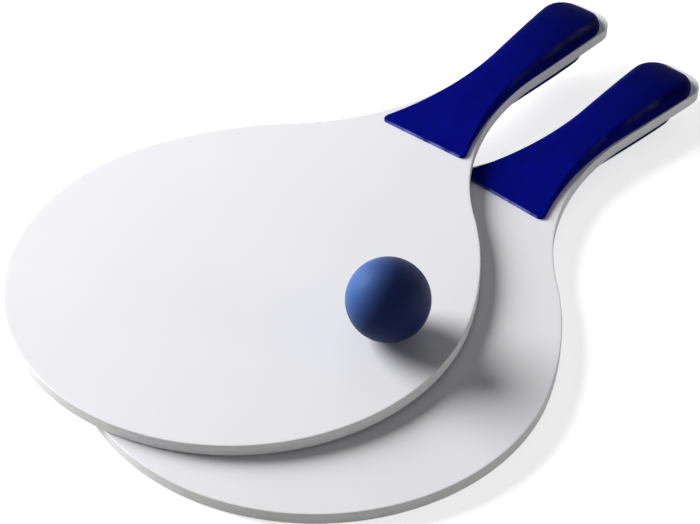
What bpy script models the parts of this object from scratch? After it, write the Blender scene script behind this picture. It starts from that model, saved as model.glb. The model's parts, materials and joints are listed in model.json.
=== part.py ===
"""Beach paddle ball set: two flat wooden paddles, one lying on the other, and a rubber ball.

Each paddle is a white board with two blue grips glued to its handle, one on either face.
The lower paddle lies on a table with its handle along +X, on the rim of its blade and the
crown of its back grip. The upper paddle lies on it, shifted sideways and turned a little,
and the ball rests on the upper blade. Metres, +Z up, origin on the table under the middle
of the set.
"""
import math

import bmesh
import bpy
import numpy as np
from mathutils import Matrix, Vector
from mathutils.geometry import intersect_point_tri_2d

MM = 0.001

# Board, seen from above: a round blade, a shoulder, a hollow neck and a flared handle
BOARD_THICKNESS = 6.0 * MM
BLADE_RADIUS = 110.5 * MM
SHOULDER_RADIUS = 180.0 * MM
SHOULDER_START = math.radians(65.6)      # where the shoulder leaves the blade, from the handle's axis
NECK_RADIUS = 133.5 * MM
WAIST_WIDTH = 28.1 * MM
NECK_OVERRUN = 10.2 * MM                 # how far the neck's hollow runs on past the waist
PALM_RADIUS = 3000.0 * MM                # the flared handle's sides are very nearly straight
HANDLE_RUN = 79.4 * MM                   # from the waist to the flat end of the handle
END_CORNER_RADIUS = 12.8 * MM
ARRIS = 0.35 * MM                        # sanded edge round both faces

# Grip, seen from above: it follows the board's edge, set in from it
GRIP_REACH = 68.4 * MM                   # from the waist forward to the straight front edge
SIDE_MARGIN = 1.0 * MM                   # white left beside the grip on the handle
FRONT_MARGIN = 6.0 * MM                  # white left beside the grip's front corners
END_MARGIN = 4.9 * MM
FRONT_CORNER_RADIUS = 4.5 * MM
GRIP_END_RADIUS = 15.5 * MM

# Grip, seen from the side and in section
CROWN_HEIGHT = 8.1 * MM
CROWN_SETBACK = 24.5 * MM                # from the highest point back to the grip's end
THIN_END = 1.4 * MM                      # thickness at the front edge and at the very end
EDGE_LIP = 0.8 * MM                      # upright edge all round
SIDE_ROUND = 6.9 * MM                    # rounding of the sides where the grip is thickest
DOME = 0.5 * MM                          # rise across the top where the grip is thickest
RISE_EASE = 12                           # the larger, the straighter the rise from front to crown
FALL_POWER = 1.9                         # 2 is an ellipse, more is a squarer end

# Grips, glued on by hand: each front grip sits a little aside and is turned about the waist,
# and the back grips are narrower and sit further from the handle's end
LOWER_GRIP_ASIDE = 0.6 * MM
LOWER_GRIP_TURN = math.radians(-0.8)
UPPER_GRIP_ASIDE = -0.6 * MM
UPPER_GRIP_TURN = math.radians(0.65)
BACK_GRIP_FORWARD = 14.0 * MM
BACK_GRIP_INSET = 1.3 * MM               # narrower than a front grip by this on each side

# Ball, and where it rests on the upper blade: from the blade's middle toward the handle, and
# in from the -Y side of the rim
BALL_RADIUS = 19.5 * MM
BALL_FORWARD = 14.0 * MM
BALL_FROM_RIM = 33.2 * MM

# Upper paddle, placed from the lower one
UPPER_FORWARD = 0.4 * MM
UPPER_ASIDE = 48.8 * MM
UPPER_TURN = math.radians(2.63)

GLUE_GAP = 0.3 * MM                      # between a grip and its board
REST_GAP = 0.3 * MM                      # between things that lie on one another

# Weight of each material, kg per cubic metre, to find how the set balances
BOARD_DENSITY = 700.0
GRIP_DENSITY = 600.0
BALL_DENSITY = 800.0                     # thick-walled hollow rubber

# Fineness of the curves
ARC_STEP = math.radians(3.0)
CORNER_STEP = math.radians(15.0)
FRONT_CORNER_STATIONS = 3
RISE_STATIONS = 12
END_STATIONS = 9
ROUND_SEGMENTS = 5
DOME_SEGMENTS = 3
BALL_SEGMENTS = 32
REST_SAMPLE = 3.0 * MM
REST_SAMPLE_FINE = 0.5 * MM

HALF_BOARD = BOARD_THICKNESS / 2
GRIP_SEAT = HALF_BOARD + GLUE_GAP
WHITE = (0.80, 0.80, 0.82)
BLUE = (0.008, 0.010, 0.200)
BALL_BLUE = (0.030, 0.105, 0.330)


def clear_scene():
    """Remove everything that the scene starts with."""
    for found in list(bpy.data.objects):
        bpy.data.objects.remove(found, do_unlink=True)


def material(name, colour, roughness):
    """A plain non-metal material."""
    made = bpy.data.materials.new(name)
    made.use_nodes = True
    shader = made.node_tree.nodes["Principled BSDF"]
    shader.inputs["Base Color"].default_value = (*colour, 1.0)
    shader.inputs["Roughness"].default_value = roughness
    shader.inputs["Metallic"].default_value = 0.0
    return made


def direction(angle):
    """Unit vector in the plan at an angle from the handle's axis."""
    return Vector((math.cos(angle), math.sin(angle)))


# The board's edge on the +Y side is a chain of arcs, each running smoothly into the next.
# The blade's centre is the origin and the handle lies along +X.
SHOULDER_CENTRE = (BLADE_RADIUS - SHOULDER_RADIUS) * direction(SHOULDER_START)
SHOULDER_END = math.asin((WAIST_WIDTH / 2 + NECK_RADIUS - SHOULDER_CENTRE.y)
                         / (SHOULDER_RADIUS + NECK_RADIUS))
NECK_CENTRE = SHOULDER_CENTRE + (SHOULDER_RADIUS + NECK_RADIUS) * direction(SHOULDER_END)
WAIST_X = NECK_CENTRE.x
NECK_STOP = math.asin(NECK_OVERRUN / NECK_RADIUS) - math.pi / 2
PALM_CENTRE = NECK_CENTRE + (NECK_RADIUS + PALM_RADIUS) * direction(NECK_STOP)
END_X = WAIST_X + HANDLE_RUN
GRIP_FRONT_X = WAIST_X - GRIP_REACH
GRIP_END_X = END_X - END_MARGIN
CROWN_X = GRIP_END_X - CROWN_SETBACK


def board_half_width(x):
    """Half the board's width at x, before the corners of the handle's end are rounded."""
    x = np.asarray(x, dtype=float)
    blade_to = (BLADE_RADIUS * direction(SHOULDER_START)).x
    shoulder_to = (SHOULDER_CENTRE + SHOULDER_RADIUS * direction(SHOULDER_END)).x

    def reach(centre, radius, side):
        run = np.clip(radius ** 2 - (x - centre.x) ** 2, 0.0, None)
        return centre.y + side * np.sqrt(run)

    width = reach(PALM_CENTRE, PALM_RADIUS, 1)
    width = np.where(x < WAIST_X + NECK_OVERRUN, reach(NECK_CENTRE, NECK_RADIUS, -1), width)
    width = np.where(x < shoulder_to, reach(SHOULDER_CENTRE, SHOULDER_RADIUS, 1), width)
    width = np.where(x < blade_to, reach(Vector((0, 0)), BLADE_RADIUS, 1), width)
    return np.where((x < -BLADE_RADIUS) | (x > END_X), 0.0, width)


def corner_cut(distance, radius):
    """How far a rounded corner draws the side in, at a distance from the end of the shape."""
    inside = np.clip(radius - np.asarray(distance, dtype=float), 0.0, radius)
    return radius - np.sqrt(radius ** 2 - inside ** 2)


def grip_half_width(x, inset=0.0):
    """Half the grip's width at x, for a grip that is set in further than a front grip."""
    x = np.asarray(x, dtype=float)
    forward = np.clip((WAIST_X - x) / GRIP_REACH, 0.0, None)
    margin = inset + SIDE_MARGIN + (FRONT_MARGIN - SIDE_MARGIN) * forward ** 2
    width = board_half_width(x) - margin
    width = width - corner_cut(x - GRIP_FRONT_X, FRONT_CORNER_RADIUS)
    width = width - corner_cut(GRIP_END_X - x, GRIP_END_RADIUS - inset)
    return np.where((x < GRIP_FRONT_X) | (x > GRIP_END_X), 0.0, width)


def grip_thickness(x):
    """Thickness on the grip's centre line: a rise to the crown, then a round fall to the end."""
    x = np.asarray(x, dtype=float)
    rise = np.clip((x - GRIP_FRONT_X) / (CROWN_X - GRIP_FRONT_X), 0.0, 1.0)
    rise = rise + (rise - rise ** RISE_EASE) / (RISE_EASE - 1)
    fall = np.clip((x - CROWN_X) / CROWN_SETBACK, 0.0, 1.0)
    fall = (1.0 - fall ** FALL_POWER) ** (1.0 / FALL_POWER)
    return THIN_END + (CROWN_HEIGHT - THIN_END) * rise * fall


def grip_section(x):
    """Sizes of the grip's section at x: shoulder height, side rounding and dome."""
    share = (grip_thickness(x) - EDGE_LIP) / (CROWN_HEIGHT - EDGE_LIP)
    dome = DOME * share
    return grip_thickness(x) - dome, SIDE_ROUND * share, dome


def grip_height(x, y, inset=0.0):
    """Height of the grip above its board at a place in the plan, 0 beside the grip."""
    half = grip_half_width(x, inset)
    shoulder, rounding, dome = grip_section(x)
    inward = half - np.abs(y)
    on_round = np.clip(1.0 - inward / rounding, 0.0, 1.0)
    across = np.clip(np.abs(y) / np.maximum(half - rounding, MM), 0.0, 1.0)
    side = EDGE_LIP + (shoulder - EDGE_LIP) * np.sqrt(1.0 - on_round ** 2)
    top = shoulder + dome * (1.0 - across ** 2)
    height = np.where(inward < rounding, side, top) + GLUE_GAP
    return np.where(inward < 0.0, 0.0, height)


def arc(centre, radius, start, stop, step):
    """Points along an arc, both ends included."""
    count = max(1, math.ceil(abs(stop - start) / step - 1e-6))
    angles = [start + (stop - start) * index / count for index in range(count + 1)]
    return [centre + radius * direction(angle) for angle in angles]


def board_outline():
    """The board's edge, once round, from the tip of the blade along its +Y side."""
    right_angle = math.pi / 2
    corner_x = END_X - END_CORNER_RADIUS
    palm_stop = math.acos((corner_x - PALM_CENTRE.x) / PALM_RADIUS)
    corner_top = PALM_CENTRE + PALM_RADIUS * direction(palm_stop)
    corner_centre = corner_top - END_CORNER_RADIUS * direction(right_angle)
    side = arc(Vector((0, 0)), BLADE_RADIUS, math.pi, right_angle, ARC_STEP)
    side += arc(Vector((0, 0)), BLADE_RADIUS, right_angle, SHOULDER_START, ARC_STEP)[1:]
    side += arc(SHOULDER_CENTRE, SHOULDER_RADIUS, SHOULDER_START, SHOULDER_END, ARC_STEP)[1:]
    side += arc(NECK_CENTRE, NECK_RADIUS, SHOULDER_END - math.pi, NECK_STOP, ARC_STEP)[1:]
    side += arc(PALM_CENTRE, PALM_RADIUS, NECK_STOP + math.pi, palm_stop, ARC_STEP)[1:]
    side += arc(corner_centre, END_CORNER_RADIUS, right_angle, 0.0, CORNER_STEP)[1:]
    other_side = [Vector((point.x, -point.y)) for point in reversed(side[1:])]
    return side + other_side


def mesh_from(shape, name):
    """Close a bmesh off as a smooth-shaded mesh with its faces pointing out."""
    bmesh.ops.recalc_face_normals(shape, faces=shape.faces)
    mesh = bpy.data.meshes.new(name)
    shape.to_mesh(mesh)
    shape.free()
    mesh.shade_smooth()
    mesh.set_sharp_from_angle(angle=math.radians(35.0))
    return mesh


def board_mesh():
    """The flat board, its middle plane at z 0."""
    shape = bmesh.new()
    corners = [shape.verts.new((point.x, point.y, -HALF_BOARD)) for point in board_outline()]
    underside = shape.faces.new(corners)
    lifted = bmesh.ops.extrude_face_region(shape, geom=[underside])["geom"]
    raised = [part for part in lifted if isinstance(part, bmesh.types.BMVert)]
    bmesh.ops.translate(shape, verts=raised, vec=(0, 0, BOARD_THICKNESS))
    return mesh_from(shape, "board")


def grip_stations():
    """Places along the grip where its section is set: close together where it turns."""
    quarter = math.pi / 2
    front_run = FRONT_CORNER_RADIUS
    front = [GRIP_FRONT_X + front_run * (1.0 - math.cos(quarter * index / FRONT_CORNER_STATIONS))
             for index in range(FRONT_CORNER_STATIONS)]
    rise_start = GRIP_FRONT_X + front_run
    rise = [rise_start + (CROWN_X - rise_start) * index / RISE_STATIONS
            for index in range(RISE_STATIONS)]
    end = [CROWN_X + CROWN_SETBACK * math.sin(quarter * index / END_STATIONS)
           for index in range(END_STATIONS + 1)]
    return front + rise + end


def grip_loop(x, inset):
    """The grip's section at x as points (y, z), from the centre of the top over the +Y side."""
    half = float(grip_half_width(x, inset))
    shoulder, rounding, dome = (float(size) for size in grip_section(x))
    flat = half - rounding
    side = []
    for index in range(DOME_SEGMENTS):
        across = index / DOME_SEGMENTS
        side.append((flat * across, shoulder + dome * (1.0 - across ** 2)))
    for index in range(ROUND_SEGMENTS + 1):
        angle = math.pi / 2 * (1.0 - index / ROUND_SEGMENTS)
        height = EDGE_LIP + (shoulder - EDGE_LIP) * math.sin(angle)
        side.append((flat + rounding * math.cos(angle), height))
    side.append((half, 0.0))
    other_side = [(-y, z) for y, z in reversed(side[1:])]
    return side + other_side


def grip_mesh(inset=0.0):
    """A grip, lying on the upper face of a board whose middle plane is at z 0."""
    shape = bmesh.new()
    rings = []
    for x in grip_stations():
        rings.append([shape.verts.new((x, y, GRIP_SEAT + z)) for y, z in grip_loop(x, inset)])
    for ring, following in zip(rings, rings[1:]):
        for index in range(len(ring)):
            after = (index + 1) % len(ring)
            shape.faces.new((ring[index], ring[after], following[after], following[index]))
    shape.faces.new(rings[0])
    shape.faces.new(rings[-1])
    return mesh_from(shape, "grip")


def ball_mesh():
    """The ball, centred on its own origin."""
    shape = bmesh.new()
    bmesh.ops.create_uvsphere(shape, u_segments=BALL_SEGMENTS, v_segments=BALL_SEGMENTS // 2,
                              radius=BALL_RADIUS)
    return mesh_from(shape, "ball")


def volume_and_centre(mesh):
    """A closed mesh's volume and centre of volume."""
    mesh.calc_loop_triangles()
    volume = 0.0
    moment = Vector((0, 0, 0))
    for triangle in mesh.loop_triangles:
        a, b, c = (mesh.vertices[index].co for index in triangle.vertices)
        wedge = a.dot(b.cross(c)) / 6.0
        volume += wedge
        moment += wedge * (a + b + c) / 4.0
    return volume, moment / volume


def centre_of_mass(pieces):
    """Centre of mass of (mesh, matrix, density) pieces."""
    weight = 0.0
    moment = Vector((0, 0, 0))
    for mesh, place, density in pieces:
        volume, centre = volume_and_centre(mesh)
        weight += volume * density
        moment += volume * density * (place @ centre)
    return moment / weight


def bearing_plane(points, centre, side):
    """The plane on which a rigid thing comes to rest on these points.

    It is the face of their convex hull over the centre of mass (side 1) or under it (side -1).
    Returns a point on the plane and its normal, which points up.
    """
    hull = bmesh.new()
    for point in points:
        hull.verts.new(point)
    bmesh.ops.convex_hull(hull, input=hull.verts)
    hull.normal_update()
    found = None
    for face in hull.faces:
        faces_there = face.normal.z * side > 1e-3
        corners = [vert.co.xy for vert in face.verts[:3]]
        if faces_there and intersect_point_tri_2d(centre.xy, *corners):
            found = face.verts[0].co.copy(), face.normal * side
    hull.free()
    return found


def turn_to(normal):
    """The smallest turn that takes straight up to this normal."""
    return Vector((0, 0, 1)).rotation_difference(normal).to_matrix().to_4x4()


def seen_from(place, x, y):
    """The plan places x, y in the own frame of a thing that lies level at this place."""
    back = place.inverted()
    return (back[0][0] * x + back[0][1] * y + back[0][3],
            back[1][0] * x + back[1][1] * y + back[1][3])


def rest_samples(place):
    """Where the upper paddle, laid level at this place, meets the lower one and how thick.

    Each sample is a spot over the lower board, with the height that grips and gap need there.
    """
    samples = []
    coarse = np.arange(-BLADE_RADIUS, END_X, REST_SAMPLE)
    fine = np.arange(GRIP_FRONT_X - BACK_GRIP_FORWARD - REST_SAMPLE, WAIST_X, REST_SAMPLE_FINE)
    across_coarse = np.arange(-BLADE_RADIUS, BLADE_RADIUS, REST_SAMPLE)
    across_fine = np.arange(-WAIST_WIDTH, WAIST_WIDTH * 2, REST_SAMPLE_FINE)
    for along, across in ((coarse, across_coarse), (fine, across_fine)):
        x, y = (grid.ravel() for grid in np.meshgrid(along, across))
        upper_x, upper_y = seen_from(place, x, y)
        both = (np.abs(y) <= board_half_width(x)) & (np.abs(upper_y) <= board_half_width(upper_x))
        need = REST_GAP + grip_height(*seen_from(front_grip_place("lower"), x, y))
        need += grip_height(upper_x + BACK_GRIP_FORWARD, upper_y, BACK_GRIP_INSET)
        samples += [Vector(sample) for sample in zip(x[both], y[both], need[both])]
    return samples


def front_grip_place(paddle):
    """Where the front grip of the lower or the upper paddle sits on its board."""
    aside, turn = {"lower": (LOWER_GRIP_ASIDE, LOWER_GRIP_TURN),
                   "upper": (UPPER_GRIP_ASIDE, UPPER_GRIP_TURN)}[paddle]
    return (Matrix.Translation((WAIST_X, aside, 0)) @ Matrix.Rotation(turn, 4, "Z")
            @ Matrix.Translation((-WAIST_X, 0, 0)))


def back_grip_place():
    """Where a back grip sits: turned over, under the board."""
    return Matrix.Translation((-BACK_GRIP_FORWARD, 0, 0)) @ Matrix.Rotation(math.pi, 4, "X")


def paddle_pieces(paddle, board, front_grip, back_grip):
    """A paddle's three pieces in its own frame, as (name, mesh, matrix, density)."""
    return [("board", board, Matrix.Identity(4), BOARD_DENSITY),
            ("front_grip", front_grip, front_grip_place(paddle), GRIP_DENSITY),
            ("back_grip", back_grip, back_grip_place(), GRIP_DENSITY)]


def upper_place(pieces, ball):
    """The upper paddle's place in the lower paddle's frame, resting on it."""
    level = (Matrix.Translation((UPPER_FORWARD, UPPER_ASIDE, 0))
             @ Matrix.Rotation(UPPER_TURN, 4, "Z"))
    load = [(mesh, level @ place, density) for _, mesh, place, density in pieces]
    load.append((ball, level @ ball_place(), BALL_DENSITY))
    spot, normal = bearing_plane(rest_samples(level), centre_of_mass(load), 1)
    fall = (spot.x - UPPER_FORWARD) * normal.x + (spot.y - UPPER_ASIDE) * normal.y
    height = spot.z + fall / normal.z + BOARD_THICKNESS
    return Matrix.Translation((0, 0, height)) @ level @ level_turn(level, normal)


def level_turn(level, normal):
    """A tilt to this normal, given in the shared frame, as a turn of the placed thing itself."""
    around = level.to_3x3().to_4x4()
    return around.inverted() @ turn_to(normal) @ around


def ball_place():
    """The ball's place in the upper paddle's frame."""
    aside = BALL_FROM_RIM - BLADE_RADIUS
    return Matrix.Translation((BALL_FORWARD, aside, HALF_BOARD + REST_GAP + BALL_RADIUS))


def set_place(placed):
    """The lower paddle's place on the table, with the whole set at rest and centred."""
    points = [place @ vert.co for mesh, place, _ in placed for vert in mesh.vertices]
    spot, normal = bearing_plane(points, centre_of_mass(placed), -1)
    tilt = turn_to(normal).inverted()
    tilted = [tilt @ point for point in points]
    low = [min(point[axis] for point in tilted) for axis in range(3)]
    high = [max(point[axis] for point in tilted) for axis in range(3)]
    middle = Vector(((low[0] + high[0]) / 2, (low[1] + high[1]) / 2, low[2]))
    return Matrix.Translation(-middle) @ tilt


def add_empty(name, matrix):
    """An empty that carries one paddle's pieces."""
    empty = bpy.data.objects.new(name, None)
    bpy.context.scene.collection.objects.link(empty)
    empty.matrix_world = matrix
    return empty


def add_piece(name, mesh, finish, carrier, matrix):
    """One piece, placed in its carrier's frame."""
    piece = bpy.data.objects.new(name, mesh)
    bpy.context.scene.collection.objects.link(piece)
    piece.parent = carrier
    piece.matrix_basis = matrix
    if not mesh.materials:
        mesh.materials.append(None)
    piece.material_slots[0].link = "OBJECT"
    piece.material_slots[0].material = finish
    return piece


def ease_arris(piece):
    """Chamfer the edges round both faces of a board."""
    bevel = piece.modifiers.new("arris", "BEVEL")
    bevel.width = ARRIS
    bevel.segments = 1
    bevel.limit_method = "ANGLE"
    bevel.angle_limit = math.radians(60.0)


def build():
    clear_scene()
    board, ball = board_mesh(), ball_mesh()
    grips = grip_mesh(), grip_mesh(BACK_GRIP_INSET)
    lower_pieces = paddle_pieces("lower", board, *grips)
    upper_pieces = paddle_pieces("upper", board, *grips)
    upper_in_lower = upper_place(upper_pieces, ball)
    placed = [(mesh, place, density) for _, mesh, place, density in lower_pieces]
    placed += [(mesh, upper_in_lower @ place, density) for _, mesh, place, density in upper_pieces]
    placed.append((ball, upper_in_lower @ ball_place(), BALL_DENSITY))
    lower = set_place(placed)

    for paddle, matrix, pieces in (("lower", lower, lower_pieces),
                                   ("upper", lower @ upper_in_lower, upper_pieces)):
        carrier = add_empty(f"{paddle}_paddle", matrix)
        for name, mesh, place, _ in pieces:
            look = (WHITE, 0.45) if name == "board" else (BLUE, 0.35)
            finish = material(f"{paddle}_{name}_finish", *look)
            piece = add_piece(f"{paddle}_{name}", mesh, finish, carrier, place)
            if name == "board":
                ease_arris(piece)
    rubber = material("ball_rubber", BALL_BLUE, 0.7)
    add_piece("ball", ball, rubber, bpy.data.objects["upper_paddle"], ball_place())


build()
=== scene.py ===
"""Beach paddle ball set: finished look of two white paddles, their blue grips and a rubber ball.

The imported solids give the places, and each of them is replaced by a finer piece of the same
size. A board is one outline of arcs with its edge profile swept round it, a grip is lofted
from sections, and the ball is a fine round mesh. Metres, +Z up, table at z 0.
"""
import json
import math

import bmesh
import bpy
import numpy as np
from bpy.props import FloatProperty, FloatVectorProperty, IntProperty, PointerProperty
from mathutils import Matrix, Vector


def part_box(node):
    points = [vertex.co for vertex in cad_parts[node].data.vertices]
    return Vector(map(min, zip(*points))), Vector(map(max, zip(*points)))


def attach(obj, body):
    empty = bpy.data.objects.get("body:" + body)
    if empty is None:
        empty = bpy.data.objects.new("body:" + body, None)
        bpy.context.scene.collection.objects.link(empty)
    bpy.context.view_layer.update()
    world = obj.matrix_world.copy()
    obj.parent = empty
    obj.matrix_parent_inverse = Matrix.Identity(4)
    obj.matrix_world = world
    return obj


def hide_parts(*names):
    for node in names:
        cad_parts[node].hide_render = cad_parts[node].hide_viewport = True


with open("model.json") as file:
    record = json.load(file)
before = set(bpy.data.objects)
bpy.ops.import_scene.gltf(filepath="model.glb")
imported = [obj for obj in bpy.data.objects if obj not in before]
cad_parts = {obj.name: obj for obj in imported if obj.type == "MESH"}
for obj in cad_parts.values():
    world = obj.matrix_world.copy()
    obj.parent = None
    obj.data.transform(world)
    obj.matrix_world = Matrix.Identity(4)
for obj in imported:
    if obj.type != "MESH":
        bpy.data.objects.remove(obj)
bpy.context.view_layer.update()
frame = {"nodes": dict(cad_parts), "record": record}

bl_info = {
    "name": "Beach Paddle Ball Set",
    "version": (1, 0, 0),
    "blender": (4, 5, 0),
    "location": "3D View > Sidebar > Paddle Ball",
    "description": "Builds two wooden beach paddles with painted grips and their rubber ball",
    "category": "Add Mesh",
}

MM = 0.001
PADDLES = ("lower", "upper")
FACES = ("front", "back")
QUARTER = math.pi / 2
FACING_UP = 0.9                      # least upward part of the normal on a board's front face
MERGE_WITHIN = 0.001 * MM            # points this close are one point
LEAST_STEP = 0.02 * MM               # sections of a grip are never closer than this
ROUNDING_STEPS = 8                   # sections along each rounding at a grip's front
TOP_STEPS = 8                        # across a section, from its middle to where the side turns
SIDE_STEPS = 12                      # and from there down to the upright lip
SHEEN_STEP = TOP_STEPS + 5          # step of the section along which the painted sheen streak runs
SHEEN_SPREAD = 1.6                  # how many steps the painted sheen streak spreads to either side
SHEEN_GAIN = 1.5                    # how soon the painted sheen reaches full strength towards the end
SHARP_ANGLE = math.radians(40.0)     # faces that meet at more than this keep a sharp edge


def length(name, description, millimetres, least=0.01):
    """A size that a user sets, in millimetres here and in metres in the scene."""
    return FloatProperty(name=name, description=description, default=millimetres * MM,
                         min=least * MM, soft_max=millimetres * 3 * MM, precision=5,
                         subtype="DISTANCE", unit="LENGTH")


def aside(name, description, millimetres):
    """A shift to either side that a user sets."""
    return FloatProperty(name=name, description=description, default=millimetres * MM,
                         precision=5, subtype="DISTANCE", unit="LENGTH")


def turn(name, description, degrees):
    """An angle that a user sets."""
    return FloatProperty(name=name, description=description, default=math.radians(degrees),
                         subtype="ANGLE", unit="ROTATION")


def share(name, description, value, most=1.0):
    """A plain factor that a user sets."""
    return FloatProperty(name=name, description=description, default=value, min=0.0, max=most,
                         precision=4, subtype="FACTOR")


def colour(name, description, value):
    """A linear colour that a user sets."""
    return FloatVectorProperty(name=name, description=description, default=value, size=3,
                               min=0.0, max=1.0, subtype="COLOR")


class BoardSizes(bpy.types.PropertyGroup):
    """Sizes of a paddle's flat board."""
    thickness: length("Thickness", "Thickness of the board", 6.0)
    blade_radius: length("Blade radius", "Radius of the round blade", 110.5)
    shoulder_radius: length("Shoulder radius", "Radius of the shoulder after the blade", 180.0)
    shoulder_start: turn("Shoulder start", "Where the shoulder leaves the blade", 65.6)
    neck_radius: length("Neck radius", "Radius of the hollow neck", 133.5)
    waist_width: length("Waist width", "Width where the handle is narrowest", 28.1)
    neck_overrun: length("Neck overrun", "How far the neck's hollow runs on past the waist", 10.2)
    palm_radius: length("Palm radius", "Radius of the handle's nearly straight sides", 3000.0)
    handle_run: length("Handle run", "From the waist to the end of the handle", 79.4)
    end_corner_radius: length("End corner radius", "Corners of the handle's end", 12.8)
    arris: length("Arris", "Rounding of the sanded edge round both faces", 0.45)
    edge_band: length("Edge band", "Strip along the edge where the coat wears", 2.5)
    arc_step: turn("Arc step", "Turn between two points of the outline", 1.0)
    arris_steps: IntProperty(name="Arris steps", description="Points round each arris",
                             default=4, min=1, max=12)


class GripSizes(bpy.types.PropertyGroup):
    """Sizes of a grip, which follows the board's edge."""
    reach: length("Reach", "From the waist forward to the straight front edge", 68.4)
    side_margin: length("Side margin", "White left beside the grip on the handle", 1.0)
    front_margin: length("Front margin", "White left beside the grip's front corners", 6.0)
    end_margin: length("End margin", "White left beyond the grip's end", 4.9)
    front_corner_radius: length("Front corner radius", "Front corners seen from above", 4.5)
    end_radius: length("End radius", "Corners of the grip's end seen from above", 15.5)
    crown_height: length("Crown height", "Thickness where the grip is thickest", 8.1)
    crown_setback: length("Crown setback", "From the highest point back to the grip's end", 24.5)
    thin_end: length("Thin end", "Thickness at the front edge and at the very end", 1.4)
    front_round: length("Front rounding", "Rounding of the front edge's upper arris", 0.5)
    # Painted highlight: how far back from the front face it is painted.
    highlight_reach: length("Highlight reach", "How far back the painted highlight runs from the front face", 0.35)
    edge_lip: length("Edge lip", "Upright edge all round", 0.8)
    side_round: length("Side rounding", "Rounding of the sides where the grip is thickest", 6.9)
    dome: length("Dome", "Rise across the top where the grip is thickest", 0.5)
    seat_gap: length("Seat gap", "Height of the solid's seat over the board", 0.3)
    glue_line: length("Glue line", "Gap left between grip and board", 0.03)
    rise_ease: share("Rise ease", "The larger, the straighter the rise to the crown", 12.0, 40.0)
    fall_power: share("Fall power", "2 is an ellipse, more is a squarer end", 1.9, 8.0)
    sections: IntProperty(name="Sections", description="Sections from front edge to crown",
                          default=90, min=8, max=400)
    lower_aside: aside("Lower aside", "Lower front grip off its board's axis at the waist", 0.6)
    lower_turn: turn("Lower turn", "Turn of the lower front grip about the waist", -0.8)
    upper_aside: aside("Upper aside", "Upper front grip off its board's axis at the waist", -0.6)
    upper_turn: turn("Upper turn", "Turn of the upper front grip about the waist", 0.65)
    back_forward: length("Back forward", "Back grips further from the handle's end", 14.0)
    back_inset: length("Back inset", "Back grips narrower than front ones, on each side", 1.3)


class BallSizes(bpy.types.PropertyGroup):
    """Fineness of the rubber ball. Its size and place are the solid's."""
    subdivisions: IntProperty(name="Subdivisions", description="Fineness of the ball's mesh",
                              default=6, min=3, max=7)


class Finishes(bpy.types.PropertyGroup):
    """Colours of the surfaces."""
    coat_white: colour("White coat", "Painted face of a board", (0.84, 0.84, 0.875))
    edge_grey: colour("Sawn edge", "Bare sanded edge of a board", (0.80, 0.80, 0.79))
    grip_blue: colour("Grip blue", "Satin paint of the grips", (0.002, 0.004, 0.185))
    # Painted shade: a darker blue that the grips' paint turns to towards their end.
    grip_shade_blue: colour("Dark grip blue", "Paint at the grips' handled end", (0.001, 0.002, 0.045))
    # Painted highlight: pale blue on the grips' front face, where light catches it.
    grip_highlight_blue: colour("Grip highlight blue", "Painted highlight on the grips' front face", (0.20, 0.24, 0.66))
    # Painted sheen: a greyish streak along the grips' -Y shoulder, standing in for a reflection.
    grip_sheen_blue: colour("Grip sheen blue", "Painted sheen along the grips' -Y shoulder", (0.10, 0.11, 0.20))
    ball_blue: colour("Ball blue", "Rubber of the ball", (0.008, 0.014, 0.070))
    # Painted light: a paler blue on the ball's side towards the key lamp.
    ball_lit_blue: colour("Lit ball blue", "Painted light on the ball's lit side", (0.046, 0.115, 0.340))
    painted_lit_side: FloatVectorProperty(name="Lit side",
                                    description="Way the ball's painted lit side faces",
                                    default=(-0.51, 0.74, 0.43), size=3, subtype="DIRECTION")
    floor_pale: colour("Floor", "Pale floor", (0.85, 0.85, 0.85))


class StageSettings(bpy.types.PropertyGroup):
    """Camera, lamp and floor."""
    lens: FloatProperty(name="Lens", description="Focal length on a 36 mm wide sensor",
                        default=116.177, subtype="DISTANCE_CAMERA", unit="CAMERA")
    aim: FloatVectorProperty(name="Aim", description="Point in the middle of the picture",
                             default=(-0.04205, -0.00486, 0.015), size=3, subtype="XYZ",
                             unit="LENGTH")
    distance: FloatProperty(name="Distance", description="From the camera to the aim",
                            default=1.06657, subtype="DISTANCE", unit="LENGTH")
    heading: turn("Heading", "Way the camera looks, turned from +Y towards -X", -49.2587)
    pitch: turn("Pitch", "How far the camera looks down", 40.2909)
    roll: turn("Roll", "Turn of the camera about its own line of sight", 2.3914)
    key_azimuth: turn("Key azimuth", "Where the soft key lamp stands, from +X", 104.8)
    key_elevation: turn("Key elevation", "Height of the soft key lamp", 28.1)
    key_distance: FloatProperty(name="Key distance", description="From the set to the key lamp",
                                default=2.4, subtype="DISTANCE", unit="LENGTH")
    key_size: FloatProperty(name="Key size", description="Width of the soft key lamp",
                            default=1.68, subtype="DISTANCE", unit="LENGTH")
    key_power: FloatProperty(name="Key power", description="Power of the key lamp",
                             default=107.0, subtype="POWER", unit="POWER")
    side_azimuth: turn("Side azimuth", "Where the weak side lamp stands, from +X", -64.0)
    side_elevation: turn("Side elevation", "Height of the weak side lamp", 10.0)
    side_distance: FloatProperty(name="Side distance", description="From the set to the side lamp",
                                 default=1.6, subtype="DISTANCE", unit="LENGTH")
    side_size: FloatProperty(name="Side size", description="Width of the weak side lamp",
                             default=0.7, subtype="DISTANCE", unit="LENGTH")
    side_power: FloatProperty(name="Side power", description="Power of the weak side lamp",
                              default=3.9, subtype="POWER", unit="POWER")
    fill: share("Fill", "Strength of the even light from all round", 0.085, 2.0)
    floor_lift: share("Floor lift", "Own light of the floor, seen by the camera alone", 0.70)
    floor_size: FloatProperty(name="Floor size", description="Side of the square floor",
                              default=8.0, subtype="DISTANCE", unit="LENGTH")


class PaddleSetSettings(bpy.types.PropertyGroup):
    """Everything that a user sets."""
    board: PointerProperty(type=BoardSizes)
    grip: PointerProperty(type=GripSizes)
    ball: PointerProperty(type=BallSizes)
    finish: PointerProperty(type=Finishes)
    stage: PointerProperty(type=StageSettings)


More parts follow.
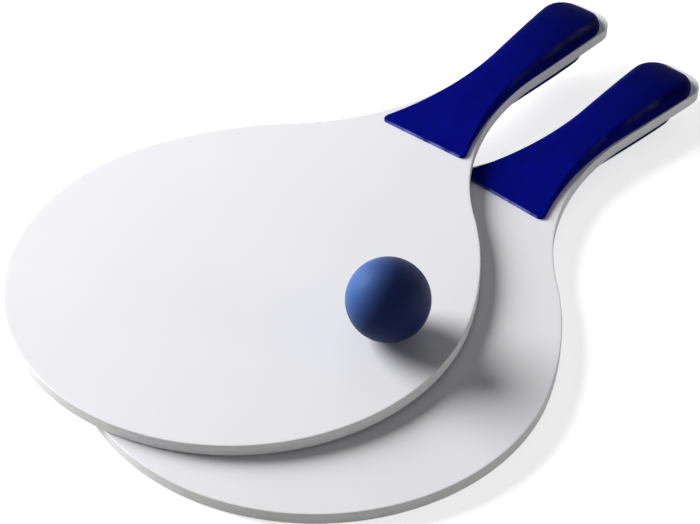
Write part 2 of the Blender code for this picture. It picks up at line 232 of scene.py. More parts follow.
def add_node(tree, kind, inputs=None, **settings):
    """Add a node. An input is given by its name or number, as a value or as a socket to link."""
    node = tree.nodes.new(kind)
    for name, value in settings.items():
        setattr(node, name, value)
    for name, value in (inputs or {}).items():
        if isinstance(value, bpy.types.NodeSocket):
            tree.links.new(value, node.inputs[name])
        else:
            node.inputs[name].default_value = value
    return node


def math_node(tree, operation, *values):
    """One sum of two or three values, as an output socket."""
    return add_node(tree, "ShaderNodeMath", dict(enumerate(values)), operation=operation).outputs[0]


def direction(angle):
    """Unit vector in the plan at an angle from the handle's axis."""
    return Vector((math.cos(angle), math.sin(angle)))


class BoardPlan:
    """The board's edge: a chain of arcs on either side, with the blade's centre at the origin."""

    def __init__(self, sizes):
        self.sizes = sizes
        blade, shoulder, neck = sizes.blade_radius, sizes.shoulder_radius, sizes.neck_radius
        self.shoulder_centre = (blade - shoulder) * direction(sizes.shoulder_start)
        rise = sizes.waist_width / 2 + neck - self.shoulder_centre.y
        self.shoulder_end = math.asin(rise / (shoulder + neck))
        self.neck_centre = self.shoulder_centre + (shoulder + neck) * direction(self.shoulder_end)
        self.waist_x = self.neck_centre.x
        self.neck_stop = math.asin(sizes.neck_overrun / neck) - QUARTER
        self.palm_centre = self.neck_centre + (neck + sizes.palm_radius) * direction(self.neck_stop)
        self.end_x = self.waist_x + sizes.handle_run

    def half_width(self, x):
        """Half the board's width at x, before the corners of the handle's end are rounded."""
        sizes = self.sizes
        blade_to = (sizes.blade_radius * direction(sizes.shoulder_start)).x
        shoulder_reach = sizes.shoulder_radius * direction(self.shoulder_end)
        shoulder_to = (self.shoulder_centre + shoulder_reach).x

        def reach(centre, radius, side):
            run = np.clip(radius ** 2 - (x - centre.x) ** 2, 0.0, None)
            return centre.y + side * np.sqrt(run)

        width = reach(self.palm_centre, sizes.palm_radius, 1)
        neck = reach(self.neck_centre, sizes.neck_radius, -1)
        width = np.where(x < self.waist_x + sizes.neck_overrun, neck, width)
        shoulder = reach(self.shoulder_centre, sizes.shoulder_radius, 1)
        width = np.where(x < shoulder_to, shoulder, width)
        return np.where(x < blade_to, reach(Vector((0, 0)), sizes.blade_radius, 1), width)

    def arc(self, centre, radius, start, stop):
        """Points along an arc, both ends included, no further apart than the arc step."""
        step = self.sizes.arc_step * min(1.0, self.sizes.blade_radius / radius)
        if radius < self.sizes.waist_width:
            step = math.radians(6.0)
        count = max(2, math.ceil(abs(stop - start) / step))
        angles = [start + (stop - start) * index / count for index in range(count + 1)]
        return [centre + radius * direction(angle) for angle in angles]

    def outline(self):
        """The whole edge, counter-clockwise seen from above, from the tip of the blade."""
        sizes = self.sizes
        corner = sizes.end_corner_radius
        palm_stop = math.acos((self.end_x - corner - self.palm_centre.x) / sizes.palm_radius)
        corner_top = self.palm_centre + sizes.palm_radius * direction(palm_stop)
        corner_centre = corner_top - corner * direction(QUARTER)
        hub = Vector((0, 0))
        arcs = (
            (hub, sizes.blade_radius, math.pi, sizes.shoulder_start),
            (self.shoulder_centre, sizes.shoulder_radius, sizes.shoulder_start, self.shoulder_end),
            (self.neck_centre, sizes.neck_radius, self.shoulder_end - math.pi, self.neck_stop),
            (self.palm_centre, sizes.palm_radius, self.neck_stop + math.pi, palm_stop),
            (corner_centre, corner, QUARTER, 0.0),
        )
        side = [hub + sizes.blade_radius * direction(math.pi)]
        for centre, radius, start, stop in arcs:
            side += self.arc(centre, radius, start, stop)[1:]
        other_side = [Vector((point.x, -point.y)) for point in side[1:]]
        return [side[0]] + other_side + list(reversed(side[1:]))


def corner_cut(distance, radius):
    """How far a rounded corner draws a side in, at a distance from the end of the shape."""
    inside = np.clip(radius - distance, 0.0, radius)
    return radius - np.sqrt(radius ** 2 - inside ** 2)


def paddle_place(paddle):
    """A paddle's own frame: blade's centre, handle along +X, front face up, as the solids lie."""
    board = bpy.context.scene.paddle_set.board
    mounts = {mount["name"]: mount for mount in frame["record"]["mounts"]}
    handle_end = mounts[f"{paddle}_handle_end"]
    along = Vector(handle_end["axis"]).normalized()
    up = Vector((0, 0, 0))
    for face in frame["nodes"][f"{paddle}_board"].data.polygons:
        if face.normal.z > FACING_UP:
            up += face.area * face.normal
    across = up.cross(along).normalized()
    up = along.cross(across)
    origin = Vector(handle_end["pos_m"]) - BoardPlan(board).end_x * along
    place = Matrix((along, across, up)).transposed().to_4x4()
    place.translation = origin
    return place


def close_outward(mesh):
    """Merge a shell's seams and point its faces outwards."""
    shape = bmesh.new()
    shape.from_mesh(mesh)
    bmesh.ops.remove_doubles(shape, verts=shape.verts, dist=MERGE_WITHIN)
    bmesh.ops.recalc_face_normals(shape, faces=shape.faces)
    shape.to_mesh(mesh)
    shape.free()


def finish_piece(name, mesh, node):
    """A finished piece at the origin that rides with the set and stands for one solid."""
    piece = bpy.data.objects.new(name, mesh)
    bpy.context.scene.collection.objects.link(piece)
    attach(piece, "root")
    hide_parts(node)
    return piece


def board_tree():
    """Geometry nodes that sweep the board's edge profile round its outline and close the faces."""
    tree = bpy.data.node_groups.new("Paddle board", "GeometryNodeTree")
    face = tree.interface
    face.new_socket("Outline", in_out="INPUT", socket_type="NodeSocketGeometry")
    for name in ("Thickness", "Arris", "Edge Band"):
        face.new_socket(name, in_out="INPUT", socket_type="NodeSocketFloat")
    face.new_socket("Arris Steps", in_out="INPUT", socket_type="NodeSocketInt")
    for name in ("Face Finish", "Edge Finish"):
        face.new_socket(name, in_out="INPUT", socket_type="NodeSocketMaterial")
    face.new_socket("Board", in_out="OUTPUT", socket_type="NodeSocketGeometry")
    given = tree.nodes.new("NodeGroupInput").outputs

    # The profile's four corners, from the top: points 1 and 2 are on the edge, points 0 and 3
    # lie inside it by the edge band. Y is up and X is outwards.
    half = math_node(tree, "MULTIPLY", given["Thickness"], 0.5)
    index = add_node(tree, "GeometryNodeInputIndex").outputs[0]
    upper_half = math_node(tree, "LESS_THAN", index, 1.5)
    side = math_node(tree, "MULTIPLY_ADD", upper_half, 2.0, -1.0)
    on_edge = add_node(tree, "FunctionNodeCompare", {"A": 1.5, "B": index, "Epsilon": 0.75},
                       operation="EQUAL").outputs[0]
    inset = math_node(tree, "MULTIPLY", math_node(tree, "SUBTRACT", on_edge, 1.0),
                      given["Edge Band"])
    corner = add_node(tree, "ShaderNodeCombineXYZ", {
        "X": inset, "Y": math_node(tree, "MULTIPLY", side, half)}).outputs[0]
    corners = add_node(tree, "GeometryNodePoints", {"Count": 4, "Position": corner}).outputs[0]
    line = add_node(tree, "GeometryNodePointsToCurves", {"Points": corners}).outputs[0]
    profile = add_node(tree, "GeometryNodeFilletCurve", {
        "Curve": line, "Count": given["Arris Steps"], "Radius": given["Arris"],
        "Limit Radius": True}, mode="POLY").outputs[0]
    profile = add_node(tree, "GeometryNodeSubdivideCurve", {"Curve": profile, "Cuts": 1}).outputs[0]
    # Mark the rounded arrises, where the coat is thin.
    spot = add_node(tree, "ShaderNodeSeparateXYZ", {
        0: add_node(tree, "GeometryNodeInputPosition").outputs[0]}).outputs
    reach = math_node(tree, "MULTIPLY", given["Arris"], 1.01)
    near_face = math_node(tree, "GREATER_THAN", math_node(tree, "ABSOLUTE", spot["Y"]),
                          math_node(tree, "SUBTRACT", half, reach))
    near_rim = math_node(tree, "GREATER_THAN", spot["X"], math_node(tree, "MULTIPLY", reach, -1.0))
    profile = add_node(tree, "GeometryNodeStoreNamedAttribute", {
        "Geometry": profile, "Name": "arris",
        "Value": math_node(tree, "MULTIPLY", near_face, near_rim)},
        data_type="FLOAT", domain="POINT").outputs[0]

    # Sweep the profile round the outline, and close both faces inside the edge band.
    rim = add_node(tree, "GeometryNodeCurveToMesh", {
        "Curve": given["Outline"], "Profile Curve": profile, "Fill Caps": False}).outputs[0]
    normal = add_node(tree, "GeometryNodeInputNormal").outputs[0]
    inward = add_node(tree, "ShaderNodeVectorMath", {
        0: normal, "Scale": math_node(tree, "MULTIPLY", given["Edge Band"], -1.0)},
        operation="SCALE").outputs[0]
    inner = add_node(tree, "GeometryNodeSetPosition", {
        "Geometry": given["Outline"], "Offset": inward}).outputs[0]
    sheet = add_node(tree, "GeometryNodeFillCurve", {"Curve": inner}, mode="TRIANGLES").outputs[0]
    lift = add_node(tree, "ShaderNodeCombineXYZ", {"Z": half}).outputs[0]
    drop = add_node(tree, "ShaderNodeVectorMath", {0: lift, "Scale": -1.0},
                    operation="SCALE").outputs[0]
    front, back = (
        add_node(tree, "GeometryNodeTransform", {"Geometry": sheet, "Translation": shift}).outputs[0]
        for shift in (lift, drop))
    back = add_node(tree, "GeometryNodeFlipFaces", {"Mesh": back}).outputs[0]
    joined = add_node(tree, "GeometryNodeJoinGeometry")
    for part in (rim, front, back):
        tree.links.new(part, joined.inputs[0])
    whole = add_node(tree, "GeometryNodeMergeByDistance", {
        "Geometry": joined.outputs[0], "Distance": 10 * MERGE_WITHIN}).outputs[0]
    whole = add_node(tree, "GeometryNodeSetShadeSmooth", {"Geometry": whole}).outputs[0]
    whole = add_node(tree, "GeometryNodeRealizeInstances", {"Geometry": whole}).outputs[0]
    # Everything has the face's finish but the upright edge.
    slope = add_node(tree, "ShaderNodeSeparateXYZ", {0: normal}).outputs["Z"]
    upright = math_node(tree, "LESS_THAN", math_node(tree, "ABSOLUTE", slope), 0.5)
    whole = add_node(tree, "GeometryNodeSetMaterial", {
        "Geometry": whole, "Material": given["Face Finish"]}).outputs[0]
    whole = add_node(tree, "GeometryNodeSetMaterial", {
        "Geometry": whole, "Selection": upright, "Material": given["Edge Finish"]}).outputs[0]
    out = tree.nodes.new("NodeGroupOutput")
    tree.links.new(whole, out.inputs[0])
    return tree


def outline_curve(points):
    """A closed flat curve through the points of an outline."""
    curve = bpy.data.curves.new("board outline", "CURVE")
    curve.dimensions = "3D"
    curve.twist_mode = "Z_UP"
    spline = curve.splines.new("POLY")
    spline.points.add(len(points) - 1)
    for slot, point in zip(spline.points, points):
        slot.co = (point.x, point.y, 0.0, 1.0)
    spline.use_cyclic_u = True
    return curve


def run_tree(carrier, tree, inputs):
    """Give an object a node tree with its inputs, and return the plain mesh that comes out."""
    modifier = carrier.modifiers.new("build", "NODES")
    modifier.node_group = tree
    sockets = {item.name: item.identifier for item in tree.interface.items_tree
               if item.in_out == "INPUT"}
    for name, value in inputs.items():
        modifier[sockets[name]] = value
    evaluated = carrier.evaluated_get(bpy.context.evaluated_depsgraph_get())
    mesh = bpy.data.meshes.new_from_object(evaluated)
    carrier.modifiers.remove(modifier)
    return mesh


class PADDLESET_OT_boards(bpy.types.Operator):
    """Make both paddles' white boards"""
    bl_idname = "paddleset.boards"
    bl_label = "Make Boards"

    def execute(self, context):
        settings = context.scene.paddle_set
        sizes = settings.board
        tree = board_tree()
        curve = outline_curve(BoardPlan(sizes).outline())
        carrier = bpy.data.objects.new("board outline", curve)
        context.scene.collection.objects.link(carrier)
        finishes = white_coat(settings.finish), sawn_edge(settings.finish)
        for paddle in PADDLES:
            mesh = run_tree(carrier, tree, {
                "Thickness": sizes.thickness, "Arris": sizes.arris, "Edge Band": sizes.edge_band,
                "Arris Steps": sizes.arris_steps, "Face Finish": finishes[0],
                "Edge Finish": finishes[1]})
            close_outward(mesh)
            mesh.transform(paddle_place(paddle))
            finish_piece(f"{paddle}_white_board", mesh, f"{paddle}_board")
        bpy.data.objects.remove(carrier, do_unlink=True)
        return {"FINISHED"}


class GripForm:
    """The grip's shape on the front face: set in from the board's edge, thickest near its end."""

    def __init__(self, sizes, plan, inset):
        self.sizes = sizes
        self.plan = plan
        self.inset = inset
        self.front_x = plan.waist_x - sizes.reach
        self.end_x = plan.end_x - sizes.end_margin
        self.crown_x = self.end_x - sizes.crown_setback

    def half_width(self, x):
        """Half the grip's width at x."""
        sizes = self.sizes
        forward = np.clip((self.plan.waist_x - x) / sizes.reach, 0.0, None)
        margin = sizes.side_margin + (sizes.front_margin - sizes.side_margin) * forward ** 2
        width = self.plan.half_width(x) - margin - self.inset
        width = width - corner_cut(x - self.front_x, sizes.front_corner_radius)
        return width - corner_cut(self.end_x - x, sizes.end_radius - self.inset)

    def thickness(self, x):
        """Thickness on the centre line: a rise to the crown, then a round fall to the end."""
        sizes = self.sizes
        rise = np.clip((x - self.front_x) / (self.crown_x - self.front_x), 0.0, 1.0)
        rise = rise + (rise - rise ** sizes.rise_ease) / (sizes.rise_ease - 1)
        fall = np.clip((x - self.crown_x) / sizes.crown_setback, 0.0, 1.0)
        fall = (1.0 - fall ** sizes.fall_power) ** (1.0 / sizes.fall_power)
        full = sizes.thin_end + (sizes.crown_height - sizes.thin_end) * rise * fall
        return full - corner_cut(x - self.front_x, sizes.front_round)

    def stations(self):
        """Places along the grip where its section is set: close together where it turns."""
        sizes = self.sizes
        count = sizes.sections
        eased = 1.0 - np.cos(QUARTER * np.linspace(0.0, 1.0, ROUNDING_STEPS + 1))
        rounded = self.front_x + sizes.front_round * eased
        corner = self.front_x + sizes.front_corner_radius * eased
        rise = np.linspace(self.front_x, self.crown_x, count)
        fall = np.sin(QUARTER * np.linspace(0.0, 1.0, count // 2))
        end = self.crown_x + sizes.crown_setback * fall
        every = np.unique(np.round(np.concatenate([rounded, corner, rise, end]), 7))
        return [x for x, after in zip(every, np.append(every[1:], 1.0)) if after - x > LEAST_STEP]

    def section(self, x):
        """The section at x as points (y, z) over the board: from the top's centre, +Y first."""
        sizes = self.sizes
        half = float(self.half_width(np.float64(x)))
        top = float(self.thickness(np.float64(x)))
        part = (top - sizes.edge_lip) / (sizes.crown_height - sizes.edge_lip)
        dome, rounding = sizes.dome * part, sizes.side_round * part
        shoulder, flat = top - dome, half - rounding
        side = []
        for step in range(TOP_STEPS):
            out = step / TOP_STEPS
            side.append((flat * out, shoulder + dome * (1.0 - out ** 2)))
        for step in range(SIDE_STEPS + 1):
            angle = QUARTER * (1.0 - step / SIDE_STEPS)
            height = sizes.edge_lip + (shoulder - sizes.edge_lip) * math.sin(angle)
            side.append((flat + rounding * math.cos(angle), height))
        side.append((half, sizes.glue_line - sizes.seat_gap))
        return side + [(-y, z) for y, z in reversed(side[1:])]

    def mesh(self):
        """The closed grip, on the front face of a board whose middle plane is at z 0."""
        seat = self.plan.sizes.thickness / 2 + self.sizes.seat_gap
        shape = bmesh.new()
        rings = [[shape.verts.new((x, y, seat + z)) for y, z in self.section(x)]
                 for x in self.stations()]
        for ring, following in zip(rings, rings[1:]):
            for index, vert in enumerate(ring):
                after = (index + 1) % len(ring)
                shape.faces.new((vert, ring[after], following[after], following[index]))
        shape.faces.new(rings[0])
        shape.faces.new(rings[-1])
        bmesh.ops.recalc_face_normals(shape, faces=shape.faces)
        self.mark_painted_light(shape, len(rings[0]))
        mesh = bpy.data.meshes.new("grip")
        shape.to_mesh(mesh)
        shape.free()
        mesh.shade_smooth()
        mesh.set_sharp_from_angle(angle=SHARP_ANGLE)
        return mesh

    def mark_painted_light(self, shape, around):
        """Masks for painted light on the paint: a painted highlight on the front face, painted shade
        growing towards the end, and a painted sheen streak along the -Y shoulder.
        """
        front_highlight = shape.verts.layers.float.new("arris")
        shaded = shape.verts.layers.float.new("shaded")
        sheen_mask = shape.verts.layers.float.new("sheen_mask")
        for index, vert in enumerate(shape.verts):
            back = vert.co.x - self.front_x
            vert[front_highlight] = max(0.0, 1.0 - back / self.sizes.highlight_reach)
            vert[shaded] = (back / (self.end_x - self.front_x)) ** 2
            step = around - index % around
            from_streak = (step - SHEEN_STEP) / SHEEN_SPREAD
            vert[sheen_mask] = min(1.0, SHEEN_GAIN * vert[shaded]) * math.exp(-from_streak ** 2)


def grip_place(paddle, side):
    """Where a grip sits on its board: hand-glued a little off the axis, or under the board."""
    settings = bpy.context.scene.paddle_set
    sizes = settings.grip
    if side == "back":
        return (Matrix.Translation((-sizes.back_forward, 0, 0))
                @ Matrix.Rotation(math.pi, 4, "X"))
    waist = BoardPlan(settings.board).waist_x
    shift, angle = {"lower": (sizes.lower_aside, sizes.lower_turn),
                    "upper": (sizes.upper_aside, sizes.upper_turn)}[paddle]
    return (Matrix.Translation((waist, shift, 0)) @ Matrix.Rotation(angle, 4, "Z")
            @ Matrix.Translation((-waist, 0, 0)))


class PADDLESET_OT_grips(bpy.types.Operator):
    """Make the four blue grips, one on either face of each handle"""
    bl_idname = "paddleset.grips"
    bl_label = "Make Grips"

    def execute(self, context):
        settings = context.scene.paddle_set
        plan = BoardPlan(settings.board)
        forms = {"front": GripForm(settings.grip, plan, 0.0),
                 "back": GripForm(settings.grip, plan, settings.grip.back_inset)}
        finish = blue_paint(settings.finish)
        for paddle in PADDLES:
            for side in FACES:
                mesh = forms[side].mesh()
                mesh.transform(paddle_place(paddle) @ grip_place(paddle, side))
                mesh.materials.append(finish)
                finish_piece(f"{paddle}_{side}_blue_grip", mesh,
                             f"{paddle}_{side}_grip")
        return {"FINISHED"}


class PADDLESET_OT_ball(bpy.types.Operator):
    """Make the rubber ball"""
    bl_idname = "paddleset.ball"
    bl_label = "Make Ball"

    def execute(self, context):
        settings = context.scene.paddle_set
        low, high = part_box("ball")
        shape = bmesh.new()
        bmesh.ops.create_icosphere(shape, subdivisions=settings.ball.subdivisions,
                                   radius=(high.z - low.z) / 2)
        mesh = bpy.data.meshes.new("ball")
        shape.to_mesh(mesh)
        shape.free()
        mesh.shade_smooth()
        mesh.transform(Matrix.Translation((low + high) / 2))
        mesh.materials.append(matte_rubber(settings.finish))
        finish_piece("blue_rubber_ball", mesh, "ball")
        return {"FINISHED"}


def new_finish(name):
    """A new material, its node tree, its shader and the object's own coordinates."""
    finish = bpy.data.materials.new(name)
    finish.use_nodes = True
    tree = finish.node_tree
    own = add_node(tree, "ShaderNodeTexCoord").outputs["Object"]
    return finish, tree, tree.nodes["Principled BSDF"], own


def ranged(tree, value, low, high, start=0.0, stop=1.0):
    """What runs from low to high while the value runs from start to stop, and stays between."""
    return add_node(tree, "ShaderNodeMapRange", {
        "Value": value, "From Min": start, "From Max": stop,
        "To Min": low, "To Max": high}).outputs["Result"]


def mottle_group():
    """Shader group: uneven tone and a fine skin relief, from noise at two scales."""
    found = bpy.data.node_groups.get("Uneven Skin")
    if found:
        return found
    tree = bpy.data.node_groups.new("Uneven Skin", "ShaderNodeTree")
    face = tree.interface
    face.new_socket("Vector", in_out="INPUT", socket_type="NodeSocketVector")
    for name, value in (("Patch Scale", 20.0), ("Skin Scale", 900.0), ("Patch Contrast", 1.0)):
        face.new_socket(name, in_out="INPUT", socket_type="NodeSocketFloat").default_value = value
    face.new_socket("Tone", in_out="OUTPUT", socket_type="NodeSocketFloat")
    face.new_socket("Relief", in_out="OUTPUT", socket_type="NodeSocketFloat")
    given = tree.nodes.new("NodeGroupInput").outputs
    patches = add_node(tree, "ShaderNodeTexNoise", {
        "Vector": given["Vector"], "Scale": given["Patch Scale"], "Detail": 4.0,
        "Roughness": 0.6}).outputs["Fac"]
    skin = add_node(tree, "ShaderNodeTexNoise", {
        "Vector": given["Vector"], "Scale": given["Skin Scale"], "Detail": 2.0}).outputs["Fac"]
    centred = math_node(tree, "SUBTRACT", patches, 0.5)
    tone = add_node(tree, "ShaderNodeMath", {
        0: centred, 1: given["Patch Contrast"], 2: 0.5}, operation="MULTIPLY_ADD",
        use_clamp=True).outputs[0]
    out = add_node(tree, "NodeGroupOutput")
    tree.links.new(tone, out.inputs["Tone"])
    tree.links.new(skin, out.inputs["Relief"])
    return tree


def wear_and_painted_light_group():
    """Shader group: a broken-up mask along an edge, where handling rubs the boards' coat and where
    the grips carry a painted highlight and a painted sheen.
    """
    found = bpy.data.node_groups.get("Wear And Painted Light")
    if found:
        return found
    tree = bpy.data.node_groups.new("Wear And Painted Light", "ShaderNodeTree")
    face = tree.interface
    face.new_socket("Vector", in_out="INPUT", socket_type="NodeSocketVector")
    for name, value in (("Edge", 0.0), ("Scale", 300.0), ("Amount", 0.5)):
        face.new_socket(name, in_out="INPUT", socket_type="NodeSocketFloat").default_value = value
    face.new_socket("Mask", in_out="OUTPUT", socket_type="NodeSocketFloat")
    given = tree.nodes.new("NodeGroupInput").outputs
    noise = add_node(tree, "ShaderNodeTexNoise", {
        "Vector": given["Vector"], "Scale": given["Scale"], "Detail": 3.0}).outputs["Fac"]
    broken = ranged(tree, noise, 0.0, 1.0, start=0.35, stop=0.65)
    mask = math_node(tree, "MULTIPLY", given["Edge"], broken)
    mask = math_node(tree, "MULTIPLY", mask, given["Amount"])
    out = add_node(tree, "NodeGroupOutput")
    tree.links.new(mask, out.inputs["Mask"])
    return tree


def skin_of(tree, vector, patch_scale, skin_scale, contrast):
    """Place the uneven skin group in a material."""
    return add_node(tree, "ShaderNodeGroup", {
        "Vector": vector, "Patch Scale": patch_scale, "Skin Scale": skin_scale,
        "Patch Contrast": contrast}, node_tree=mottle_group()).outputs


def wear_and_painted_light_mask(tree, vector, attribute, scale, amount):
    """Where a board's coat is rubbed and where a grip carries painted light: a mask kept in the
    mesh, broken up by noise.
    """
    edge = add_node(tree, "ShaderNodeAttribute", attribute_name=attribute).outputs["Fac"]
    return add_node(tree, "ShaderNodeGroup", {
        "Vector": vector, "Edge": edge, "Scale": scale, "Amount": amount},
        node_tree=wear_and_painted_light_group()).outputs["Mask"]


def blend_colours(tree, factor, first, second):
    """A colour between two, by a factor socket."""
    mixed = add_node(tree, "ShaderNodeMix", data_type="RGBA")
    tree.links.new(factor, mixed.inputs["Factor"])
    for socket, value in ((mixed.inputs[6], first), (mixed.inputs[7], second)):
        if isinstance(value, bpy.types.NodeSocket):
            tree.links.new(value, socket)
        else:
            socket.default_value = (*value, 1.0)
    return mixed.outputs[2]


def scaled(colour_value, factor):
    """A colour made darker or lighter, and nowhere over 1."""
    return [min(1.0, factor * part) for part in colour_value]


def set_relief(tree, shader, height, depth):
    """Bump the shader's normal by a height of at most this depth."""
    bump = add_node(tree, "ShaderNodeBump", {"Distance": depth, "Height": height})
    tree.links.new(bump.outputs[0], shader.inputs["Normal"])


def white_coat(colours):
    """Smooth white coat on a board's faces, thin and a little grey along the arris."""
    finish, tree, shader, own = new_finish("white_coat")
    skin = skin_of(tree, own, patch_scale=14.0, skin_scale=700.0, contrast=1.2)
    clean = blend_colours(tree, skin["Tone"], scaled(colours.coat_white, 0.975),
                          scaled(colours.coat_white, 1.02))
    rubbed = wear_and_painted_light_mask(tree, own, "arris", scale=260.0, amount=0.35)
    tree.links.new(blend_colours(tree, rubbed, clean, colours.edge_grey),
                   shader.inputs["Base Color"])
    tree.links.new(ranged(tree, skin["Tone"], 0.42, 0.52), shader.inputs["Roughness"])
    set_relief(tree, shader, skin["Relief"], 0.02 * MM)
    return finish


def sawn_edge(colours):
    """Bare sanded edge of a board: faint layers along it and fine fibres."""
    finish, tree, shader, own = new_finish("sawn_edge")
    layers = add_node(tree, "ShaderNodeMapping", {"Vector": own, "Scale": (0.12, 0.12, 1.0)})
    skin = skin_of(tree, layers.outputs[0], patch_scale=900.0, skin_scale=2600.0, contrast=1.6)
    grey = blend_colours(tree, skin["Tone"], scaled(colours.edge_grey, 0.88),
                         scaled(colours.edge_grey, 1.08))
    tree.links.new(grey, shader.inputs["Base Color"])
    shader.inputs["Roughness"].default_value = 0.8
    set_relief(tree, shader, skin["Relief"], 0.05 * MM)
    return finish


def blue_paint(colours):
    """Satin blue paint on the grips: uneven, with painted shade towards the end, a painted highlight
    on the front face and a painted sheen streak along the -Y shoulder.
    """
    finish, tree, shader, own = new_finish("satin_blue_paint")
    skin = skin_of(tree, own, patch_scale=90.0, skin_scale=800.0, contrast=1.5)
    # Painted shade: the paint darkens towards the grip's end, where its top falls away from the key
    # lamp.
    shaded = add_node(tree, "ShaderNodeAttribute", attribute_name="shaded").outputs["Fac"]
    fresh = blend_colours(tree, shaded, colours.grip_blue, colours.grip_shade_blue)
    tone = ranged(tree, skin["Tone"], 0.8, 1.25)
    paint = add_node(tree, "ShaderNodeVectorMath", {0: fresh, "Scale": tone},
                     operation="SCALE").outputs[0]
    # Painted highlight: the front face is painted pale blue where the light catches it.
    thin = wear_and_painted_light_mask(tree, own, "arris", scale=120.0, amount=0.9)
    paint = blend_colours(tree, thin, paint, colours.grip_highlight_blue)
    # Painted sheen: a greyish streak along the -Y shoulder, where the side lamp would show in the
    # gloss.
    sheen_streak = wear_and_painted_light_mask(tree, own, "sheen_mask", scale=60.0, amount=0.62)
    tree.links.new(blend_colours(tree, sheen_streak, paint, colours.grip_sheen_blue),
                   shader.inputs["Base Color"])
    tree.links.new(ranged(tree, skin["Tone"], 0.34, 0.46), shader.inputs["Roughness"])
    shader.inputs["Specular IOR Level"].default_value = 0.005
    set_relief(tree, shader, skin["Relief"], 0.03 * MM)
    return finish


def matte_rubber(colours):
    """Matte blue rubber with painted light: paler on the side towards the key lamp, darker on the
    rest.
    """
    finish, tree, shader, own = new_finish("matte_blue_rubber")
    skin = skin_of(tree, own, patch_scale=60.0, skin_scale=2200.0, contrast=1.2)
    # Painted light: the side facing this way is painted paler and the rest stays a darker blue,
    # standing in for the ball's shading.
    facing = add_node(tree, "ShaderNodeVectorMath", {
        0: add_node(tree, "ShaderNodeTexCoord").outputs["Normal"], 1: tuple(colours.painted_lit_side)},
        operation="DOT_PRODUCT").outputs["Value"]
    patchy = math_node(tree, "MULTIPLY_ADD", skin["Tone"], 0.1, -0.05)
    lit_share = ranged(tree, math_node(tree, "ADD", facing, patchy), 0.0, 1.0, start=0.28)
    tree.links.new(blend_colours(tree, lit_share, colours.ball_blue, colours.ball_lit_blue),
                   shader.inputs["Base Color"])
    shader.inputs["Roughness"].default_value = 0.5
    shader.inputs["Specular IOR Level"].default_value = 0.12
    shader.inputs["Specular Tint"].default_value = (0.5, 0.75, 1.0, 1.0)
    set_relief(tree, shader, skin["Relief"], 0.03 * MM)
    return finish


def seen_directly(tree):
    """1 for what the camera sees straight or through gloss or glass, 0 for other light."""
    rays = add_node(tree, "ShaderNodeLightPath").outputs
    seen = math_node(tree, "MAXIMUM", rays["Is Camera Ray"], rays["Is Glossy Ray"])
    return math_node(tree, "MAXIMUM", seen, rays["Is Transmission Ray"])


def floor_finish(colours, lift):
    """Pale floor that the camera sees as white, with the set's shadow on it."""
    finish, tree, shader, own = new_finish("pale_floor")
    skin = skin_of(tree, own, patch_scale=3.0, skin_scale=400.0, contrast=0.6)
    pale = blend_colours(tree, skin["Tone"], scaled(colours.floor_pale, 0.99), colours.floor_pale)
    tree.links.new(pale, shader.inputs["Base Color"])
    shader.inputs["Roughness"].default_value = 0.9
    shader.inputs["Specular IOR Level"].default_value = 0.0
    shader.inputs["Emission Color"].default_value = (1.0, 1.0, 1.0, 1.0)
    tree.links.new(math_node(tree, "MULTIPLY", seen_directly(tree), lift),
                   shader.inputs["Emission Strength"])
    return finish


def set_world(fill):
    """An even pale surround: white where it is seen, and a plain fill light otherwise."""
    world = bpy.data.worlds.new("pale_surround")
    world.use_nodes = True
    tree = world.node_tree
    strength = ranged(tree, seen_directly(tree), fill, 1.0)
    background = tree.nodes["Background"]
    background.inputs["Color"].default_value = (1.0, 1.0, 1.0, 1.0)
    tree.links.new(strength, background.inputs["Strength"])
    bpy.context.scene.world = world


def hang_lamp(name, aim, bearing, distance, size, power):
    """A round soft lamp that faces the aim from this bearing (azimuth, elevation)."""
    lamp = bpy.data.lights.new(name, "AREA")
    lamp.shape = "DISK"
    lamp.size = size
    lamp.energy = power
    level = direction(bearing[0]) * math.cos(bearing[1])
    towards = Vector((level.x, level.y, math.sin(bearing[1])))
    hung = bpy.data.objects.new(name, lamp)
    bpy.context.scene.collection.objects.link(hung)
    hung.location = Vector(aim) + distance * towards
    hung.rotation_euler = towards.to_track_quat("Z", "Y").to_euler()


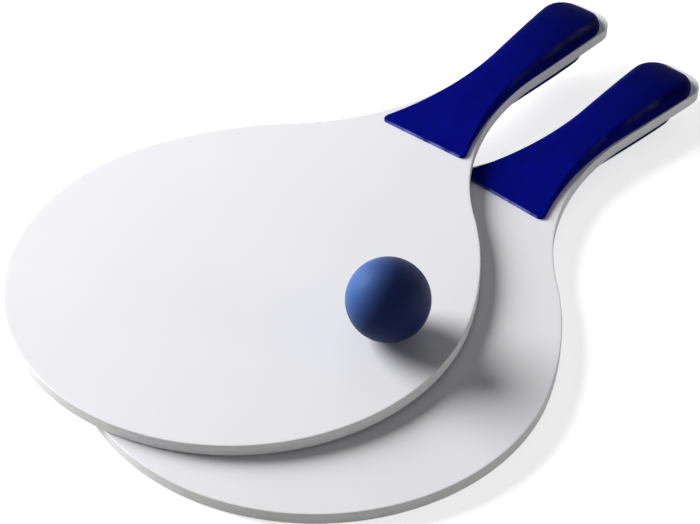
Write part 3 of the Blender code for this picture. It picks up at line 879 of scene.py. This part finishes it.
class PADDLESET_OT_stage(bpy.types.Operator):
    """Set the floor, the surround, both soft lamps and the camera"""
    bl_idname = "paddleset.stage"
    bl_label = "Set Stage"

    def execute(self, context):
        settings = context.scene.paddle_set
        stage = settings.stage
        self.lay_floor(context, settings)
        set_world(stage.fill)
        hang_lamp("soft_key", stage.aim, (stage.key_azimuth, stage.key_elevation),
                  stage.key_distance, stage.key_size, stage.key_power)
        hang_lamp("side_fill", stage.aim, (stage.side_azimuth, stage.side_elevation),
                  stage.side_distance, stage.side_size, stage.side_power)
        self.set_camera(context, stage)
        context.scene.view_settings.view_transform = "Standard"
        return {"FINISHED"}

    def lay_floor(self, context, settings):
        """A wide pale floor at z 0."""
        shape = bmesh.new()
        bmesh.ops.create_grid(shape, x_segments=4, y_segments=4,
                              size=settings.stage.floor_size / 2)
        mesh = bpy.data.meshes.new("floor")
        shape.to_mesh(mesh)
        shape.free()
        mesh.materials.append(floor_finish(settings.finish, settings.stage.floor_lift))
        floor = bpy.data.objects.new("floor", mesh)
        context.scene.collection.objects.link(floor)

    def set_camera(self, context, stage):
        """The camera at the photo's distance and viewing angle."""
        lens = bpy.data.cameras.new("camera")
        lens.lens = stage.lens
        lens.sensor_width = 36.0
        lens.clip_start, lens.clip_end = 0.05, 50.0
        camera = bpy.data.objects.new("camera", lens)
        context.scene.collection.objects.link(camera)
        look = (Matrix.Rotation(stage.heading, 4, "Z")
                @ Matrix.Rotation(QUARTER - stage.pitch, 4, "X")
                @ Matrix.Rotation(stage.roll, 4, "Z"))
        camera.matrix_world = (Matrix.Translation(stage.aim) @ look
                               @ Matrix.Translation((0, 0, stage.distance)))
        context.scene.camera = camera


class PADDLESET_PT_panel(bpy.types.Panel):
    """Sizes, colours and steps of the paddle ball set"""
    bl_label = "Paddle Ball Set"
    bl_idname = "PADDLESET_PT_panel"
    bl_space_type = "VIEW_3D"
    bl_region_type = "UI"
    bl_category = "Paddle Ball"

    def draw(self, context):
        settings = context.scene.paddle_set
        for heading in ("board", "grip", "ball", "finish", "stage"):
            box = self.layout.box()
            box.label(text=heading.capitalize())
            group = getattr(settings, heading)
            for name in group.__annotations__:
                box.prop(group, name)
        for step in STEPS:
            self.layout.operator(step.bl_idname)


STEPS = (PADDLESET_OT_stage, PADDLESET_OT_boards, PADDLESET_OT_grips, PADDLESET_OT_ball)
CLASSES = (BoardSizes, GripSizes, BallSizes, Finishes, StageSettings, PaddleSetSettings,
           *STEPS, PADDLESET_PT_panel)


def register():
    """Add the settings, the steps and the panel."""
    for kind in CLASSES:
        bpy.utils.register_class(kind)
    bpy.types.Scene.paddle_set = PointerProperty(type=PaddleSetSettings)


def unregister():
    """Take the settings, the steps and the panel away again."""
    del bpy.types.Scene.paddle_set
    for kind in reversed(CLASSES):
        bpy.utils.unregister_class(kind)


def main():
    """Build the whole set."""
    register()
    bpy.ops.paddleset.stage()
    bpy.ops.paddleset.boards()
    bpy.ops.paddleset.grips()
    bpy.ops.paddleset.ball()


if __name__ == "__main__":
    main()
